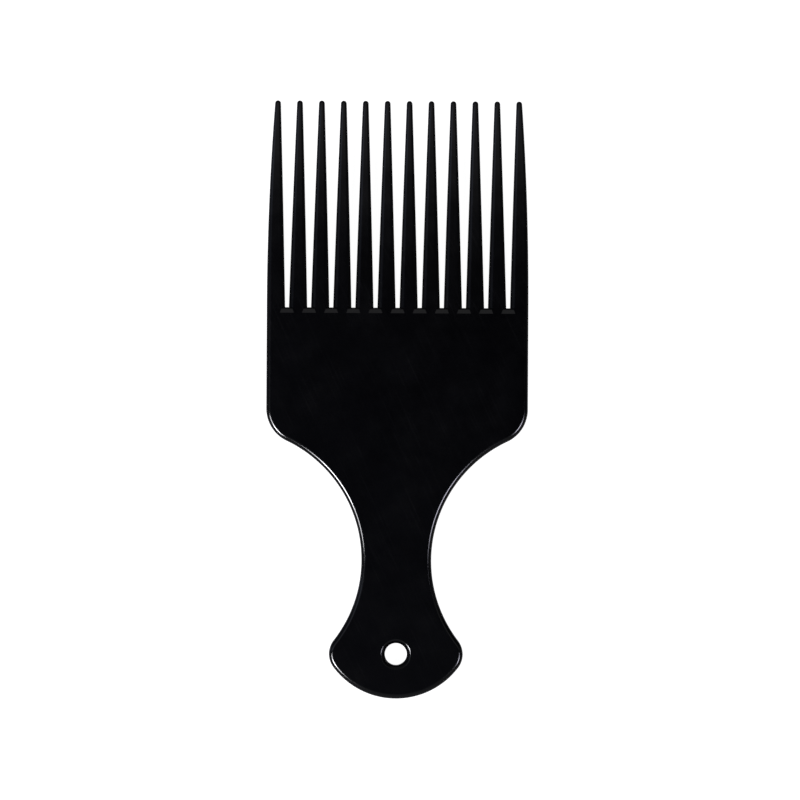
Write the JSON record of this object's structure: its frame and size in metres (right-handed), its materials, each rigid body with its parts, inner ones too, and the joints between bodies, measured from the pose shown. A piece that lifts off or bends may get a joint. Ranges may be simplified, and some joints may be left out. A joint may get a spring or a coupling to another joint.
{
  "type": "afro pick",
  "caption": "Flat moulded hair pick with long tapered round-tipped teeth, a wide plate, a waisted grip and a flared tail with a hang hole.",
  "frame": {"origin": "middle of the footprint, on the plane of the back face", "axes": "+X across the teeth, +Y from the tail to the tooth tips, +Z out of the front face"},
  "size_m": [0.0722, 0.1652, 0.0045],
  "materials": {
    "moulded_plastic": "black injection-moulded plastic with a polished surface"
  },
  "bodies": {
    "root": {"tooth_01": "moulded_plastic", "tooth_02": "moulded_plastic", "tooth_03": "moulded_plastic", "tooth_04": "moulded_plastic", "tooth_05": "moulded_plastic", "tooth_06": "moulded_plastic", "tooth_07": "moulded_plastic", "tooth_08": "moulded_plastic", "tooth_09": "moulded_plastic", "tooth_10": "moulded_plastic", "tooth_11": "moulded_plastic", "tooth_12": "moulded_plastic", "spine_plate": "moulded_plastic", "neck_grip": "moulded_plastic", "hanging_tail": "moulded_plastic"}
  },
  "joints": []
}
